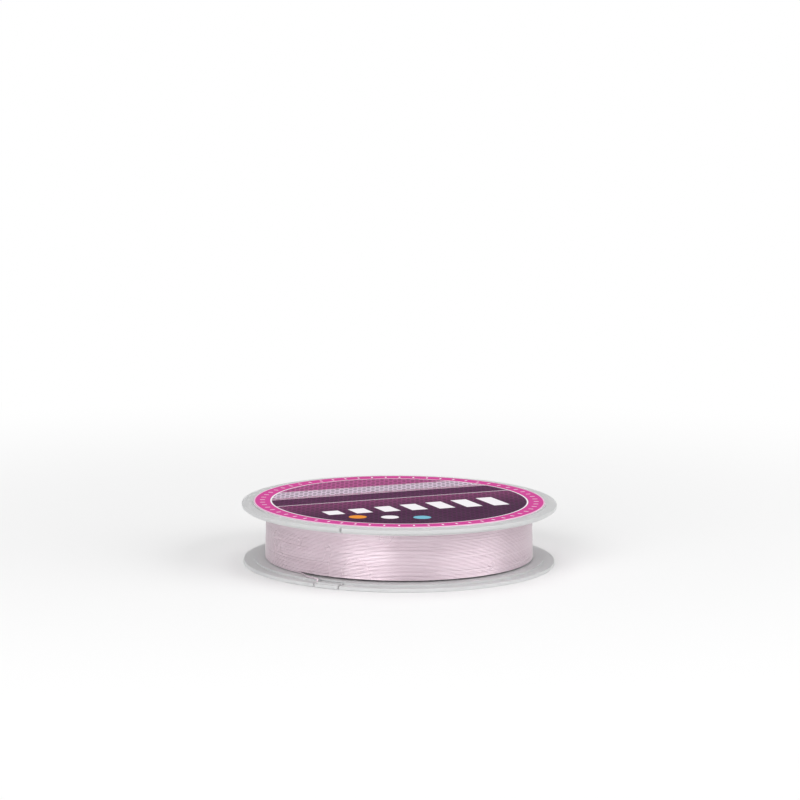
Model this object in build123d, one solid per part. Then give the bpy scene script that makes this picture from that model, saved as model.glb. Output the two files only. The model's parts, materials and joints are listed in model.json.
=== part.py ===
from build123d import *
import math
import os

# Fishing line spool for 50 m of leader line, in millimetres.
# The spool lies on its rear flange. +Z runs along its axis towards the front label, and the
# origin is the centre of the rear face.

# Flanges. Each is a thin rim disc with a slightly smaller layer on its inner side.
front_flange_diameter = 70.0
rear_rim_inset = 0.4
rim_thickness = 0.8
inner_layer_thickness = 0.4
front_layer_inset = 0.7
rear_layer_inset = 2.4
rim_rounding = 0.15

# Winding space, from the front rim in to the drum and from flange to flange
winding_depth = 7.55
winding_width = 11.1
drum_wall = 1.2

# Hub with its spindle bore, which the front flange closes, and the ribs from the hub to the drum
bore_diameter = 8.0
hub_end_gap = 2.3
hub_wall = 1.6
rib_count = 6
rib_thickness = 1.0
rib_end_gap = 1.6

# Ring and socket that hold the front half in the rear half
ring_length = 4.0
ring_wall = 1.0
socket_length = 3.5
socket_wall = 1.0
fit_clearance = 0.08
snap_bead_radius = 0.3
snap_bead_rise = 1.3

# Labels
plateau_inset = 2.4
label_thickness = 0.12
plateau_height = 0.2
plateau_margin = 0.3
rear_label_diameter = 48.0
rear_label_hole_diameter = 16.0
rear_recess_depth = 0.22
rear_recess_margin = 0.3

# Line slits through the front flange's rim
slit_length = 1.2
slit_width = 0.5
slit_angle = 249.0

# Line clip: a tongue that flexes in a window in the rear flange's rim
clip_angle = 243.0
clip_width = 5.6
clip_length = 3.7
clip_slot = 0.35
clip_knuckle_radius = 0.35
clip_nib_radius = 0.3
clip_nib_setback = 1.0
knuckle_clearance = 0.06

# Wound line and the tape under its first turn
line_pack_depth = 2.25
line_inner_clearance = 0.15
line_side_clearance = 0.1
line_edge_rounding = 0.3
tape_thickness = 0.08
tape_clearance = 0.03
tape_width = 8.0
tape_arc = 26.0

# Sizes worked out from the ones above
front_rim_radius = front_flange_diameter / 2
rear_rim_radius = front_rim_radius - rear_rim_inset
flange_thickness = rim_thickness + inner_layer_thickness
front_inside = flange_thickness + winding_width
front_face = front_inside + flange_thickness
plateau_top = front_face + plateau_height
drum_radius = front_rim_radius - winding_depth
drum_inner_radius = drum_radius - drum_wall
ring_outer_radius = drum_inner_radius - fit_clearance
ring_bottom = front_inside - ring_length
rib_top = ring_bottom - rib_end_gap
bore_radius = bore_diameter / 2
hub_radius = bore_radius + hub_wall
hub_length = front_inside - hub_end_gap
socket_inner_radius = hub_radius + fit_clearance
plateau_radius = front_rim_radius - plateau_inset
front_label_radius = plateau_radius - plateau_margin
rear_label_radius = rear_label_diameter / 2
rear_label_hole_radius = rear_label_hole_diameter / 2
clip_hinge_radius = rear_rim_radius - clip_length
clip_hinge_height = rim_thickness - clip_knuckle_radius
window_width = clip_width + 2 * clip_slot
groove_radius = clip_knuckle_radius + knuckle_clearance
line_inner_radius = drum_radius + line_inner_clearance
line_outer_radius = line_inner_radius + line_pack_depth

same_radius = 0.001
past_edge = 1.0


def turned(points):
    """Solid of revolution about Z from an outline of (radius, height) points."""
    outline = Polyline(*[(radius, 0, height) for radius, height in points], close=True)
    return revolve(make_face(outline), Axis.Z)


def ring(inner_radius, outer_radius, bottom, top):
    """Plain tube about Z."""
    corners = [(inner_radius, bottom), (outer_radius, bottom), (outer_radius, top), (inner_radius, top)]
    return turned(corners)


def block(low, high):
    """Box between two opposite corners."""
    size = [high_value - low_value for low_value, high_value in zip(low, high)]
    return Pos(*low) * Box(*size, align=(Align.MIN, Align.MIN, Align.MIN))


def turned_to(angle, shape):
    """The shape, made along +X, turned about Z to its place."""
    return Rot(0, 0, angle) * shape


def across(radius, length, distance, height):
    """Cylinder that lies across the +X direction."""
    return Pos(distance, 0, height) * Rot(90, 0, 0) * Cylinder(radius, length)


def rounded_edges(solid, radius, rounding):
    """The solid with its round edges of one radius rounded."""
    edges = solid.edges().filter_by(GeomType.CIRCLE)
    chosen = [edge for edge in edges if abs(edge.radius - radius) < same_radius]
    return fillet(chosen, rounding)


def snap_ring(radius):
    """Round bead where the front half's ring clicks into the drum."""
    return Pos(0, 0, ring_bottom + snap_bead_rise) * Torus(ring_outer_radius, radius)


def clip_window():
    """Window in the rear flange that the line clip flexes in, with the groove for its knuckle."""
    half_width = window_width / 2
    outside = rear_rim_radius + past_edge
    above = flange_thickness + past_edge
    opening = block((clip_hinge_radius, -half_width, -past_edge), (outside, half_width, above))
    under_knuckle = block(
        (clip_hinge_radius - groove_radius, -half_width, -past_edge),
        (clip_hinge_radius, half_width, clip_hinge_height),
    )
    groove = across(groove_radius, window_width, clip_hinge_radius, clip_hinge_height)
    return turned_to(clip_angle, opening + under_knuckle + groove)


def ribs():
    """Radial ribs between the hub and the drum."""
    overlap = drum_wall / 2
    rib = block(
        (hub_radius - overlap, -rib_thickness / 2, flange_thickness / 2),
        (drum_inner_radius + overlap, rib_thickness / 2, rib_top),
    )
    return [turned_to(360 / rib_count * number, rib) for number in range(rib_count)]


def rear_half():
    """Rear flange, drum and hub, moulded in one."""
    layer_radius = rear_rim_radius - rear_layer_inset
    half = turned(
        [
            (bore_radius, 0),
            (rear_rim_radius, 0),
            (rear_rim_radius, rim_thickness),
            (layer_radius, rim_thickness),
            (layer_radius, flange_thickness),
            (drum_radius, flange_thickness),
            (drum_radius, front_inside),
            (drum_inner_radius, front_inside),
            (drum_inner_radius, flange_thickness),
            (hub_radius, flange_thickness),
            (hub_radius, hub_length),
            (bore_radius, hub_length),
        ]
    )
    half = rounded_edges(half, rear_rim_radius, rim_rounding)
    for rib in ribs():
        half += rib
    half -= snap_ring(snap_bead_radius + fit_clearance)
    half -= ring(
        rear_label_hole_radius - rear_recess_margin,
        rear_label_radius + rear_recess_margin,
        -past_edge,
        rear_recess_depth,
    )
    return half - clip_window()


def front_half():
    """Front flange with its label plateau, the ring that snaps into the drum and the hub socket."""
    layer_radius = front_rim_radius - front_layer_inset
    rim_underside = front_inside + inner_layer_thickness
    half = turned(
        [
            (0, front_inside),
            (layer_radius, front_inside),
            (layer_radius, rim_underside),
            (front_rim_radius, rim_underside),
            (front_rim_radius, front_face),
            (plateau_radius, front_face),
            (plateau_radius, plateau_top),
            (0, plateau_top),
        ]
    )
    half = rounded_edges(half, front_rim_radius, rim_rounding)
    inside_flange = front_inside + inner_layer_thickness
    half += ring(ring_outer_radius - ring_wall, ring_outer_radius, ring_bottom, inside_flange)
    half += snap_ring(snap_bead_radius)
    socket_outer_radius = socket_inner_radius + socket_wall
    half += ring(socket_inner_radius, socket_outer_radius, front_inside - socket_length, inside_flange)
    slit = block(
        (front_rim_radius - slit_length, -slit_width / 2, front_inside - past_edge),
        (front_rim_radius + past_edge, slit_width / 2, plateau_top + past_edge),
    )
    return half - turned_to(slit_angle, slit) - turned_to(slit_angle + 180, slit)


def line_clip():
    """Tongue that traps the line's end, with a round knuckle at its root and a nib near its tip."""
    knuckle = across(clip_knuckle_radius, clip_width, clip_hinge_radius, clip_hinge_height)
    bottom = clip_hinge_height - clip_knuckle_radius
    tongue = block(
        (clip_hinge_radius, -clip_width / 2, bottom),
        (rear_rim_radius + past_edge, clip_width / 2, rim_thickness),
    )
    tongue = tongue & Cylinder(rear_rim_radius, 2 * flange_thickness)
    nib_distance = rear_rim_radius - clip_nib_setback
    nib = across(clip_nib_radius, clip_width, nib_distance, rim_thickness - clip_nib_radius / 4)
    return turned_to(clip_angle, tongue + knuckle + nib)


def fishing_line():
    """Outer shape of the wound line."""
    pack = ring(
        line_inner_radius,
        line_outer_radius,
        flange_thickness + line_side_clearance,
        front_inside - line_side_clearance,
    )
    return rounded_edges(pack, line_outer_radius, line_edge_rounding)


def start_tape():
    """Strip of tape that holds the line's first turn to the drum."""
    inner_radius = drum_radius + tape_clearance
    middle = flange_thickness + winding_width / 2
    band = ring(inner_radius, inner_radius + tape_thickness, middle - tape_width / 2, middle + tape_width / 2)
    half_width = drum_radius * math.sin(math.radians(tape_arc / 2))
    patch = block((0, -half_width, 0), (front_rim_radius, half_width, front_inside))
    return turned_to(clip_angle, band & patch)


def front_label():
    """Printed label on the front plateau."""
    return Pos(0, 0, plateau_top) * Cylinder(
        front_label_radius, label_thickness, align=(Align.CENTER, Align.CENTER, Align.MIN)
    )


def rear_label():
    """Ring label in the recess of the rear face."""
    bottom = rear_recess_depth - label_thickness
    return ring(rear_label_hole_radius, rear_label_radius, bottom, rear_recess_depth)


os.makedirs("parts", exist_ok=True)
for make in (rear_half, front_half, line_clip, fishing_line, start_tape, front_label, rear_label):
    export_step(make(), f"parts/{make.__name__}.step")
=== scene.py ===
import json
import math
import random
import bpy
from mathutils import Matrix, Vector


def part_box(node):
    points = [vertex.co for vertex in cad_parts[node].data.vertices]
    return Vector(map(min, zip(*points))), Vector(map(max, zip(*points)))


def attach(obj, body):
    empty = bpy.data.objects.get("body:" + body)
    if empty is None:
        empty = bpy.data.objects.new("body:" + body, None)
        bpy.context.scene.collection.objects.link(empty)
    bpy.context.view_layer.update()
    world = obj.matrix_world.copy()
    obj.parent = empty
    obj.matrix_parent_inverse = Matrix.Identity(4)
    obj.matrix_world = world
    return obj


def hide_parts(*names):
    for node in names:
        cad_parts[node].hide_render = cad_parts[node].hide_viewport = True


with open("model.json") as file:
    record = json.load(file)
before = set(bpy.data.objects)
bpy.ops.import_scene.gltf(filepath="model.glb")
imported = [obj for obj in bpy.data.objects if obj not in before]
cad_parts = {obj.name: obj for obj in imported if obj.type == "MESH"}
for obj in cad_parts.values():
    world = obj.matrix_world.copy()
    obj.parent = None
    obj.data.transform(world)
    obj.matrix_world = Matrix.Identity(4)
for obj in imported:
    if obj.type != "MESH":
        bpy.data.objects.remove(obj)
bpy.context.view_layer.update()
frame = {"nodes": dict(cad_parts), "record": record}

MM = 0.001
spool_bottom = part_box("rear_half")[0][2]
rim_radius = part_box("front_half")[1][0]
line_low, line_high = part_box("fishing_line")
pack_radius = line_high[0]
label_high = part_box("front_label")[1]
label_radius = label_high[0]
label_top = label_high[2]
clip_joint = frame["record"]["behaviour"]["joints"][0]


# ---------------------------------------------------------------- node helpers


class Surface:
    """A node material with a Principled shader, and short calls for the nodes that feed it."""

    def __init__(self, name, **values):
        self.material = bpy.data.materials.new(name)
        self.material.use_nodes = True
        self.tree = self.material.node_tree
        self.shader = self.tree.nodes["Principled BSDF"]
        for socket, value in values.items():
            self.shader.inputs[socket.replace("_", " ")].default_value = value
        self.place = self.node("ShaderNodeTexCoord").outputs["Object"]

    def node(self, kind, **settings):
        made = self.tree.nodes.new(kind)
        for setting, value in settings.items():
            setattr(made, setting, value)
        return made

    def feed(self, socket, value):
        """Links a node's output to the socket, or sets the socket to a plain value."""
        if isinstance(value, bpy.types.NodeSocket):
            self.tree.links.new(value, socket)
        else:
            socket.default_value = value

    def set_input(self, socket, value):
        self.feed(self.shader.inputs[socket], value)

    def compute(self, operation, first, second=0.0, third=0.0):
        made = self.node("ShaderNodeMath", operation=operation)
        for socket, value in zip(made.inputs, (first, second, third)):
            self.feed(socket, value)
        return made.outputs[0]

    def add(self, first, second):
        return self.compute("ADD", first, second)

    def subtract(self, first, second):
        return self.compute("SUBTRACT", first, second)

    def multiply(self, first, second):
        return self.compute("MULTIPLY", first, second)

    def divide(self, first, second):
        return self.compute("DIVIDE", first, second)

    def fraction(self, value):
        return self.compute("FRACT", value)

    def outside(self, mask):
        """1 where the mask is 0, and 0 where it is 1."""
        return self.subtract(1.0, mask)

    def length(self, x, y):
        squares = self.add(self.multiply(x, x), self.multiply(y, y))
        return self.compute("SQRT", squares)

    def step(self, value, low, high):
        """0 below low, 1 above high, smooth between."""
        made = self.node("ShaderNodeMapRange", interpolation_type="SMOOTHSTEP")
        self.feed(made.inputs["Value"], value)
        made.inputs["From Min"].default_value = low
        made.inputs["From Max"].default_value = high
        return made.outputs[0]

    def band(self, value, low, high, soft):
        """1 between low and high, 0 outside."""
        rise = self.step(value, low - soft, low + soft)
        fall = self.step(value, high - soft, high + soft)
        return self.subtract(rise, fall)

    def scale(self, value, low, high):
        """The value's 0 to 1 spread over low to high."""
        return self.compute("MULTIPLY_ADD", value, high - low, low)

    def mix(self, factor, first, second):
        made = self.node("ShaderNodeMix", data_type="RGBA")
        self.feed(made.inputs["Factor"], factor)
        self.feed(made.inputs["A"], first)
        self.feed(made.inputs["B"], second)
        return made.outputs["Result"]

    def noise(self, size, detail=2.0, stretch=None):
        """Noise whose features are about size metres across."""
        made = self.node("ShaderNodeTexNoise")
        made.inputs["Scale"].default_value = 1 / size
        made.inputs["Detail"].default_value = detail
        place = self.place
        if stretch:
            mapping = self.node("ShaderNodeMapping")
            mapping.inputs["Scale"].default_value = stretch
            self.feed(mapping.inputs["Vector"], place)
            place = mapping.outputs["Vector"]
        self.feed(made.inputs["Vector"], place)
        return made.outputs["Fac"]

    def parts(self):
        """The x and y of each point, and its distance from the spool's axis."""
        split = self.node("ShaderNodeSeparateXYZ")
        self.feed(split.inputs[0], self.place)
        x, y = split.outputs[0], split.outputs[1]
        return x, y, self.length(x, y)

    def bump(self, height, distance, strength=1.0):
        made = self.node("ShaderNodeBump")
        made.inputs["Distance"].default_value = distance
        made.inputs["Strength"].default_value = strength
        self.feed(made.inputs["Height"], height)
        self.feed(self.shader.inputs["Normal"], made.outputs["Normal"])


def colour(red, green, blue):
    """Linear colour of an sRGB one that is written from 0 to 255."""

    def linear(value):
        share = value / 255
        return share / 12.92 if share <= 0.04045 else ((share + 0.055) / 1.055) ** 2.4

    return (linear(red), linear(green), linear(blue), 1.0)


# ------------------------------------------------------ plastic, line and tape

FLOW_SIZE = 9 * MM
GRAIN_SIZE = 0.35 * MM
SCRATCH_SIZE = 0.6 * MM
SCRATCH_STRETCH = (1.0, 0.08, 1.0)
TURN_TONE_SIZE = 1.6 * MM
TURN_TONE_STRETCH = (0.15, 0.15, 1.0)
TURN_TONE_SHARE = 0.7
WIDE_TONE_SIZE = 11 * MM
WIDE_TONE_SHARE = 0.3
CREPE_SIZE = 0.5 * MM
CREPE_STRETCH = (1.0, 1.0, 4.0)


def frosted_plastic():
    """Milky see-through moulding: fine grain all over, faint flow marks and small scratches."""
    plastic = Surface("frosted_plastic", Transmission_Weight=0.42, IOR=1.49)
    flow = plastic.noise(FLOW_SIZE, 3.0)
    grain = plastic.noise(GRAIN_SIZE, 3.0)
    plastic.set_input("Base Color", plastic.mix(flow, colour(238, 239, 240), colour(250, 250, 250)))
    plastic.set_input("Roughness", plastic.scale(plastic.add(grain, flow), 0.22, 0.36))
    scratches = plastic.step(plastic.noise(SCRATCH_SIZE, 2.0, SCRATCH_STRETCH), 0.62, 0.75)
    plastic.bump(plastic.subtract(grain, scratches), 0.02 * MM, 0.5)
    return plastic.material


def line_plastic():
    """Glossy monofilament with a faint pink tint, a little uneven from turn to turn."""
    line = Surface(
        "pink_monofilament",
        Metallic=0.42,
        Specular_IOR_Level=1.0,
        Coat_Weight=0.5,
        Coat_Roughness=0.15,
    )
    tone = line.noise(TURN_TONE_SIZE, 2.0, TURN_TONE_STRETCH)
    wide = line.noise(WIDE_TONE_SIZE, 1.0)
    shade = line.compute("MULTIPLY_ADD", tone, TURN_TONE_SHARE, line.multiply(wide, WIDE_TONE_SHARE))
    line.set_input("Base Color", line.mix(shade, colour(218, 196, 207), colour(240, 225, 233)))
    line.set_input("Roughness", line.scale(wide, 0.2, 0.38))
    return line.material


def tape_film():
    """Matt adhesive tape with a fine crepe."""
    tape = Surface("tape_film", Specular_IOR_Level=0.35)
    crepe = tape.noise(CREPE_SIZE, 3.0, CREPE_STRETCH)
    tape.set_input("Base Color", tape.mix(crepe, colour(222, 214, 188), colour(240, 234, 214)))
    tape.set_input("Roughness", tape.scale(crepe, 0.55, 0.75))
    tape.bump(crepe, 0.02 * MM, 0.5)
    return tape.material


# ----------------------------------------------------------------- front label

MAGENTA = colour(205, 56, 145)
WORN_MAGENTA = colour(218, 68, 158)
PALE_EDGE = colour(240, 200, 224)
WHITE_INK = colour(250, 246, 250)
DEEP_PURPLE = colour(78, 16, 70)
MAUVE = colour(190, 88, 150)
LILAC = colour(226, 204, 224)
VIOLET = colour(92, 24, 80)
HOLE_INK = colour(16, 4, 18)
DOT_INKS = (colour(243, 150, 40), WHITE_INK, colour(120, 190, 214))

PRINT_SOFTNESS = 0.05 * MM
ARTWORK_SLANT = math.radians(24)
FADE_FROM, FADE_TO = -16 * MM, 26 * MM
BANDS = ((3.5 * MM, 10.5 * MM, VIOLET), (12.5 * MM, 18.5 * MM, LILAC))
STRIPES = (3.1 * MM, 10.9 * MM, 12.1 * MM, 18.9 * MM)
STRIPE_HALF_WIDTH = 0.15 * MM

ROW_PITCH = 1.0 * MM
HOLE_PITCH = 2.0 * MM
HOLE_RADIUS = 0.47 * MM
HOLE_DARKNESS = 0.8
HOLE_DEPTH = 0.05 * MM

BAR_COUNT = 7
FIRST_BAR = -19.5 * MM
BAR_PITCH = 6.4 * MM
BAR_HALF_WIDTH = 1.9 * MM
BAR_ROW = -8.5 * MM
FIRST_BAR_HALF_HEIGHT = 2.2 * MM
BAR_GROWTH = 0.45 * MM

FIRST_DOT = -9 * MM
DOT_PITCH = 7 * MM
DOT_ROW = -20.5 * MM
DOT_RADIUS = 1.95 * MM

RING_INNER_RADIUS = 0.888 * label_radius
RING_LINE_WIDTH = 0.35 * MM
EDGE_LINE_FROM, EDGE_LINE_TO = 0.35 * MM, 0.15 * MM
TICK_COUNT = 60
TICK_HALF_SHARE = 0.06
TICK_SOFTNESS = 0.02
TICK_FROM, TICK_TO = 1.2 * MM, 2.3 * MM
WEAR_SIZE = 5 * MM


def slanted(film, x, y):
    """Distance along the artwork's slant, and height across it."""
    cosine, sine = math.cos(ARTWORK_SLANT), math.sin(ARTWORK_SLANT)
    along = film.add(film.multiply(x, cosine), film.multiply(y, sine))
    height = film.subtract(film.multiply(y, cosine), film.multiply(x, sine))
    return along, height


def punched_holes(film, x, y):
    """1 in each hole of the staggered rows."""
    row = film.divide(y, ROW_PITCH)
    stagger = film.fraction(film.multiply(film.compute("FLOOR", row), 0.5))
    column = film.add(film.divide(x, HOLE_PITCH), stagger)
    hole_x = film.multiply(film.subtract(film.fraction(column), 0.5), HOLE_PITCH)
    hole_y = film.multiply(film.subtract(film.fraction(row), 0.5), ROW_PITCH)
    from_hole = film.length(hole_x, hole_y)
    return film.outside(film.step(from_hole, HOLE_RADIUS - PRINT_SOFTNESS, HOLE_RADIUS + PRINT_SOFTNESS))


def printed_field(film, height, holes):
    """Bands that lie aslant, from mauve to deep purple, with the holes and thin stripes over them."""
    field = film.mix(film.step(height, FADE_FROM, FADE_TO), DEEP_PURPLE, MAUVE)
    for low, high, ink in BANDS:
        field = film.mix(film.band(height, low, high, PRINT_SOFTNESS), field, ink)
    field = film.mix(film.multiply(holes, HOLE_DARKNESS), field, HOLE_INK)
    for middle in STRIPES:
        stripe = film.band(height, middle - STRIPE_HALF_WIDTH, middle + STRIPE_HALF_WIDTH, PRINT_SOFTNESS)
        field = film.mix(stripe, field, WHITE_INK)
    return field


def slanted_bars(film, along, height):
    """1 in each of the plain bars, which grow along the lower half."""
    bars = 0.0
    for number in range(BAR_COUNT):
        middle = FIRST_BAR + BAR_PITCH * number
        half_height = FIRST_BAR_HALF_HEIGHT + BAR_GROWTH * number
        wide = film.band(along, middle - BAR_HALF_WIDTH, middle + BAR_HALF_WIDTH, PRINT_SOFTNESS)
        tall = film.band(height, BAR_ROW - half_height, BAR_ROW + half_height, PRINT_SOFTNESS)
        bars = film.add(bars, film.multiply(wide, tall))
    return bars


def coloured_dots(film, field):
    """The field with a row of dots below the bars, and 1 in each dot."""
    dots = 0.0
    for number, ink in enumerate(DOT_INKS):
        offset = film.node("ShaderNodeVectorMath", operation="DISTANCE")
        film.feed(offset.inputs[0], film.place)
        offset.inputs[1].default_value = (FIRST_DOT + DOT_PITCH * number, DOT_ROW, label_top)
        from_dot = offset.outputs["Value"]
        dot = film.outside(film.step(from_dot, DOT_RADIUS - PRINT_SOFTNESS, DOT_RADIUS + PRINT_SOFTNESS))
        field = film.mix(dot, field, ink)
        dots = film.add(dots, dot)
    return field, dots


def ticked_ring(film, x, y, distance, wear):
    """Worn magenta with white tick marks round it."""
    turn = film.divide(film.compute("ARCTAN2", y, x), 2 * math.pi)
    tick = film.fraction(film.add(film.multiply(turn, TICK_COUNT), 0.5))
    tick_mask = film.band(tick, 0.5 - TICK_HALF_SHARE, 0.5 + TICK_HALF_SHARE, TICK_SOFTNESS)
    tick_low, tick_high = RING_INNER_RADIUS + TICK_FROM, RING_INNER_RADIUS + TICK_TO
    tick_reach = film.band(distance, tick_low, tick_high, PRINT_SOFTNESS)
    ring = film.mix(wear, MAGENTA, WORN_MAGENTA)
    return film.mix(film.multiply(tick_mask, tick_reach), ring, WHITE_INK)


def label_print():
    """Printed film: a magenta ring with tick marks round a punched field of plain bands and bars."""
    film = Surface("label_print", Specular_IOR_Level=0.08)
    x, y, distance = film.parts()
    wear = film.noise(WEAR_SIZE, 3.0)
    along, height = slanted(film, x, y)
    holes = punched_holes(film, x, y)
    bars = slanted_bars(film, along, height)
    field = film.mix(bars, printed_field(film, height, holes), WHITE_INK)
    field, dots = coloured_dots(film, field)

    ring = ticked_ring(film, x, y, distance, wear)
    in_ring = film.step(distance, RING_INNER_RADIUS - PRINT_SOFTNESS, RING_INNER_RADIUS + PRINT_SOFTNESS)
    face = film.mix(in_ring, field, ring)
    inner_line = film.band(distance, RING_INNER_RADIUS - RING_LINE_WIDTH, RING_INNER_RADIUS, PRINT_SOFTNESS)
    face = film.mix(inner_line, face, WHITE_INK)
    edge_line = film.step(distance, label_radius - EDGE_LINE_FROM, label_radius - EDGE_LINE_TO)
    face = film.mix(edge_line, face, PALE_EDGE)
    film.set_input("Base Color", face)
    film.set_input("Roughness", film.scale(wear, 0.38, 0.55))

    unprinted = film.outside(film.add(bars, dots))
    punched = film.multiply(film.multiply(holes, film.outside(in_ring)), unprinted)
    film.bump(film.multiply(punched, -1.0), HOLE_DEPTH)
    return film.material


# ------------------------------------------------------------------ rear label

REAR_SOFTNESS = 0.06 * MM
REAR_RINGS = ((22.4 * MM, 23.4 * MM), (9.0 * MM, 9.4 * MM), (21.6 * MM, 21.8 * MM))
REAR_STRIPE_PITCH = 1.6 * MM
REAR_STRIPE_HALF_SHARE = 0.1
REAR_STRIPE_SOFTNESS = 0.04
REAR_STRIPE_STRENGTH = 0.35
REAR_PANEL_INNER, REAR_PANEL_OUTER = 11 * MM, 20 * MM
REAR_PANEL_EDGE = 1 * MM
FIBRE_SIZE = 0.5 * MM


def rear_print():
    """Coated paper ring with plain printed stripes and a faint fibre."""
    paper = Surface("rear_print", Specular_IOR_Level=0.3)
    _, y, distance = paper.parts()
    fibre = paper.noise(FIBRE_SIZE, 4.0)
    face = paper.mix(fibre, colour(238, 236, 239), colour(248, 247, 248))
    for low, high in REAR_RINGS:
        face = paper.mix(paper.band(distance, low, high, REAR_SOFTNESS), face, MAGENTA)
    place = paper.fraction(paper.divide(y, REAR_STRIPE_PITCH))
    low, high = 0.5 - REAR_STRIPE_HALF_SHARE, 0.5 + REAR_STRIPE_HALF_SHARE
    stripes = paper.band(place, low, high, REAR_STRIPE_SOFTNESS)
    annulus = paper.band(distance, REAR_PANEL_INNER, REAR_PANEL_OUTER, REAR_SOFTNESS)
    panel = paper.multiply(annulus, paper.step(y, -REAR_PANEL_EDGE, REAR_PANEL_EDGE))
    tint = paper.multiply(paper.multiply(stripes, panel), REAR_STRIPE_STRENGTH)
    face = paper.mix(tint, face, colour(120, 60, 110))
    paper.set_input("Base Color", face)
    paper.set_input("Roughness", paper.scale(fibre, 0.45, 0.6))
    paper.bump(fibre, 0.01 * MM, 0.4)
    return paper.material


# ------------------------------------------------------------------ wound line

LINE_LENGTH = 50.0
LINE_DIAMETER = 0.30 * MM
TURN_LEAD = 0.3 * MM
OUTER_TURNS = 44
INNER_SIDES_A_TURN = 36
OUTER_SIDES_A_TURN = 120
TUBE_SIDES = 6
UNEVENNESS = 0.035 * MM
WAVER_KNOTS_A_TURN = 13
OUTWARD_SEED = 5
UPWARD_SEED = 11

TAIL_ARC = math.radians(16)
TAIL_STEPS = 20
TAIL_DESCENT = 1.35
TAIL_ABOVE_LINE_BOTTOM = 0.25 * MM
CLIP_HALF_WIDTH = 2.8 * MM
CLIP_SIDE_SLOT = 0.35 * MM
SLOT_RADIUS = rim_radius - 2.1 * MM
SLOT_DROPS = (0.3 * MM, 0.55 * MM, 0.8 * MM, 1.05 * MM)
SLOT_LEAN = 0.25


def eased(share):
    """A share from 0 to 1 that starts and ends slowly."""
    return share * share * (3 - 2 * share)


def polar(radius, angle, height):
    return Vector((radius * math.cos(angle), radius * math.sin(angle), height))


def waver(seed, knot_count):
    """Smooth waver along the line, from -1 to 1, as a function of the turns laid so far."""
    draw = random.Random(seed)
    knots = [draw.uniform(-1, 1) for _ in range(knot_count + 2)]

    def at(turns):
        place = turns * WAVER_KNOTS_A_TURN
        knot = int(place)
        return knots[knot] + (knots[knot + 1] - knots[knot]) * eased(place - knot)

    return at


def traverse(turns_left, low, high):
    """Height of the line as the guide goes up and down, ending at the rear flange."""
    span = high - low
    travelled = turns_left * TURN_LEAD % (2 * span)
    return low + min(travelled, 2 * span - travelled)


def drum_surface():
    """Radius that the first turn lies on: the inner wall of the line's CAD ring."""
    node = frame["nodes"]["fishing_line"]
    return min(math.hypot(vertex.co.x, vertex.co.y) for vertex in node.data.vertices)


def clip_slot_angle():
    """Angle of the middle of the slot beside the clip, on the side that the line comes from."""
    x, y = clip_joint["pos_m"][:2]
    sideways = (CLIP_HALF_WIDTH + CLIP_SIDE_SLOT / 2) / SLOT_RADIUS
    return math.atan2(y, x) - math.asin(sideways)


def tail(radius, start_angle, start_height):
    """Last stretch: off the pack, across the rear flange and down into the slot."""
    over_flange = line_low[2] + TAIL_ABOVE_LINE_BOTTOM
    end_angle = start_angle + TAIL_ARC
    points = []
    for step in range(1, TAIL_STEPS + 1):
        share = step / TAIL_STEPS
        ease = eased(share)
        height = start_height + (over_flange - start_height) * min(1.0, TAIL_DESCENT * ease)
        points.append(polar(radius + (SLOT_RADIUS - radius) * ease, start_angle + TAIL_ARC * share, height))
    for drop in SLOT_DROPS:
        points.append(polar(SLOT_RADIUS + SLOT_LEAN * drop, end_angle, over_flange - drop))
    return points


def wound_path():
    """Points of the whole line, from the drum out, with its end laid into the line clip's side slot."""
    half = LINE_DIAMETER / 2
    first = drum_surface() + half
    last = pack_radius - half - UNEVENNESS
    mean_turn = 2 * math.pi * (first + last) / 2
    turn_count = round(LINE_LENGTH / mean_turn)
    tail_start = clip_slot_angle() - TAIL_ARC
    start_angle = tail_start - 2 * math.pi * turn_count
    low = line_low[2] + half + UNEVENNESS / 2
    high = line_high[2] - half - UNEVENNESS / 2
    waver_out = waver(OUTWARD_SEED, turn_count * WAVER_KNOTS_A_TURN)
    waver_up = waver(UPWARD_SEED, turn_count * WAVER_KNOTS_A_TURN)
    points = []
    turns = 0.0
    while turns <= turn_count:
        share = turns / turn_count
        radius = math.sqrt(first**2 + share * (last**2 - first**2))
        angle = start_angle + 2 * math.pi * turns
        radius += UNEVENNESS * waver_out(turns) * share
        height = traverse(turn_count - turns, low, high) + 0.5 * UNEVENNESS * waver_up(turns)
        points.append(polar(radius, angle, height))
        outside = turns >= turn_count - OUTER_TURNS
        turns += 1 / (OUTER_SIDES_A_TURN if outside else INNER_SIDES_A_TURN)
    return points + tail(radius, tail_start, points[-1][2])


def tube(name, points, radius, sides):
    """Closed round tube through the points, with a flat end at each end."""
    vertices = []
    count = len(points)
    for number, point in enumerate(points):
        ahead = points[min(number + 1, count - 1)]
        behind = points[max(number - 1, 0)]
        tangent = (ahead - behind).normalized()
        outward = Vector((point.x, point.y, 0)).normalized()
        outward = (outward - tangent * outward.dot(tangent)).normalized()
        upward = tangent.cross(outward)
        for side in range(sides):
            turn = 2 * math.pi * side / sides
            vertices.append(point + radius * (math.cos(turn) * outward + math.sin(turn) * upward))
    faces = []
    for number in range(count - 1):
        base = number * sides
        for side in range(sides):
            beside = (side + 1) % sides
            faces.append((base + side, base + beside, base + sides + beside, base + sides + side))
    faces.append(tuple(reversed(range(sides))))
    faces.append(tuple(range((count - 1) * sides, count * sides)))
    mesh = bpy.data.meshes.new(name)
    mesh.from_pydata(vertices, [], faces)
    mesh.polygons.foreach_set("use_smooth", [True] * len(mesh.polygons))
    piece = bpy.data.objects.new(name, mesh)
    bpy.context.scene.collection.objects.link(piece)
    return piece


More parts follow.
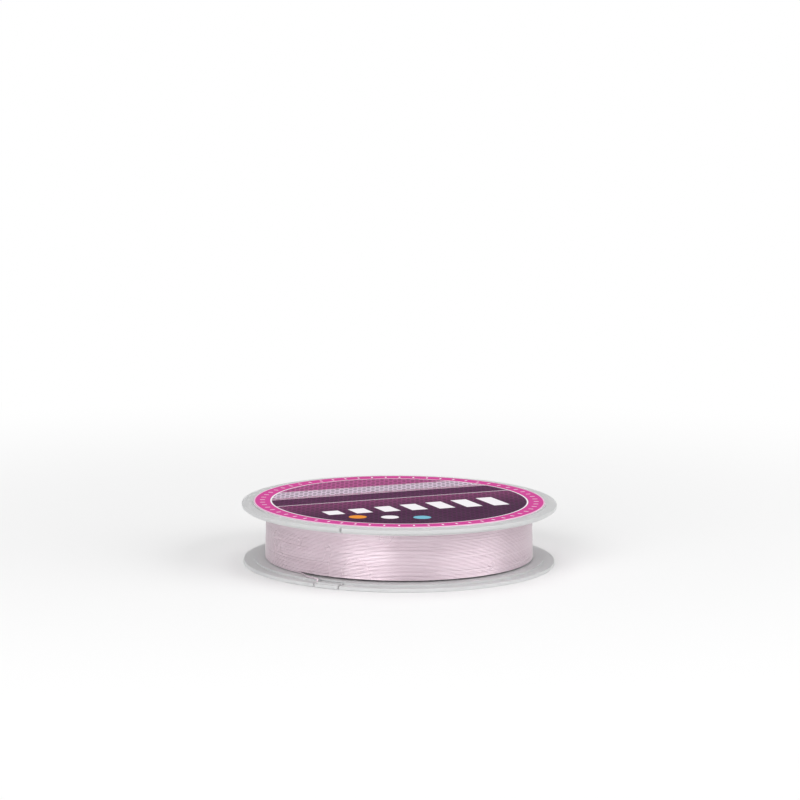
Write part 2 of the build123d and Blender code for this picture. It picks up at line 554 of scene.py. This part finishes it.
def wound_line():
    """The whole line as one tube, in place of its CAD ring."""
    path = wound_path()
    length = sum((after - before).length for before, after in zip(path, path[1:]))
    print("wound line length in metres:", round(length, 2))
    line = tube("wound_line", path, LINE_DIAMETER / 2, TUBE_SIDES)
    line.data.materials.append(line_plastic())
    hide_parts("fishing_line")
    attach(line, "spool")


# ------------------------------------------------------------- CAD node finish


def finish_nodes():
    """Gives each CAD node that stays in view its material."""
    plastic = frosted_plastic()
    finishes = {
        "rear_half": plastic,
        "front_half": plastic,
        "line_clip": plastic,
        "start_tape": tape_film(),
        "front_label": label_print(),
        "rear_label": rear_print(),
    }
    for name, material in finishes.items():
        node = frame["nodes"][name]
        for slot in node.material_slots:
            slot.material = material


# ------------------------------------------------------- floor, light, camera

BACKGROUND_REACH = 3.0
FLOOR_GAP = 0.02 * MM
FLOOR_TONE = (0.92, 0.92, 0.92, 1)
WHITE_FROM, WHITE_TO = 0.05, 0.25
SURROUND_LIGHT = 0.4
SURROUND_SEEN = 1.0

FOCAL_LENGTH = 171.7
SENSOR_WIDTH = 36.0
CAMERA_DISTANCE = 0.85
CAMERA_ELEVATION = math.radians(10.6)
CAMERA_ROLL = math.radians(0.38)
BELOW_CENTRE = 29.2 * MM


def white_floor():
    """Pale floor that takes the spool's shadow and turns to white for the camera farther out."""
    mesh = bpy.data.meshes.new("floor")
    reach = BACKGROUND_REACH
    level = -FLOOR_GAP
    corners = [(-reach, -reach, level), (reach, -reach, level), (reach, reach, level), (-reach, reach, level)]
    mesh.from_pydata(corners, [], [(0, 1, 2, 3)])
    floor = bpy.data.objects.new("floor", mesh)
    bpy.context.scene.collection.objects.link(floor)
    pale = Surface("pale_floor", Base_Color=FLOOR_TONE, Roughness=0.9, Specular_IOR_Level=0.1)
    distance = pale.parts()[2]
    rays = pale.node("ShaderNodeLightPath")
    white = pale.node("ShaderNodeEmission")
    blend = pale.node("ShaderNodeMixShader")
    far = pale.step(distance, WHITE_FROM, WHITE_TO)
    pale.feed(blend.inputs[0], pale.multiply(far, rays.outputs["Is Camera Ray"]))
    pale.feed(blend.inputs[1], pale.shader.outputs[0])
    pale.feed(blend.inputs[2], white.outputs[0])
    pale.feed(pale.tree.nodes["Material Output"].inputs["Surface"], blend.outputs[0])
    mesh.materials.append(pale.material)


def world_light():
    """Soft surround: white to the camera, and a lower light to every other ray."""
    world = bpy.data.worlds.new("surround")
    bpy.context.scene.world = world
    world.use_nodes = True
    tree = world.node_tree
    background = tree.nodes["Background"]
    rays = tree.nodes.new("ShaderNodeLightPath")
    mix = tree.nodes.new("ShaderNodeMapRange")
    tree.links.new(rays.outputs["Is Camera Ray"], mix.inputs["Value"])
    mix.inputs["To Min"].default_value = SURROUND_LIGHT
    mix.inputs["To Max"].default_value = SURROUND_SEEN
    tree.links.new(mix.outputs[0], background.inputs["Strength"])
    background.inputs["Color"].default_value = (1, 1, 1, 1)


def softbox(name, azimuth, elevation, distance, width, height, power):
    """Area light that faces the spool from an azimuth (0 is the camera's side) and an elevation."""
    turn, lift = math.radians(azimuth), math.radians(elevation)
    place = Vector((math.sin(turn) * math.cos(lift), -math.cos(turn) * math.cos(lift), math.sin(lift)))
    lamp = bpy.data.lights.new(name, "AREA")
    lamp.shape = "RECTANGLE"
    lamp.size = width
    lamp.size_y = height
    lamp.energy = power
    light = bpy.data.objects.new(name, lamp)
    light.location = place * distance
    light.rotation_euler = place.to_track_quat("Z", "Y").to_euler()
    bpy.context.scene.collection.objects.link(light)


def camera():
    """Long lens a little above the table, with the spool low in the picture."""
    lens = bpy.data.cameras.new("camera")
    lens.lens = FOCAL_LENGTH
    lens.sensor_width = SENSOR_WIDTH
    lens.clip_start = 0.01
    lens.clip_end = 20.0
    view = bpy.data.objects.new("camera", lens)
    spool_middle = Vector((0, 0, (spool_bottom + label_top) / 2))
    away = Vector((0, -math.cos(CAMERA_ELEVATION), math.sin(CAMERA_ELEVATION)))
    place = spool_middle + CAMERA_DISTANCE * away
    pitch = math.pi / 2 - CAMERA_ELEVATION + math.atan(BELOW_CENTRE / CAMERA_DISTANCE)
    turn = Matrix.Rotation(pitch, 4, "X") @ Matrix.Rotation(CAMERA_ROLL, 4, "Z")
    view.matrix_world = Matrix.Translation(place) @ turn
    bpy.context.scene.collection.objects.link(view)
    bpy.context.scene.camera = view


camera()
world_light()
white_floor()
softbox("left_softbox", azimuth=-26, elevation=24, distance=0.9, width=0.62, height=0.7, power=5.2)
softbox("right_softbox", azimuth=69, elevation=24, distance=0.9, width=0.9, height=0.7, power=4.4)
softbox("top_softbox", azimuth=180, elevation=75, distance=1.0, width=0.8, height=0.8, power=2.8)
wound_line()
finish_nodes()

bpy.context.scene.view_settings.view_transform = "Standard"
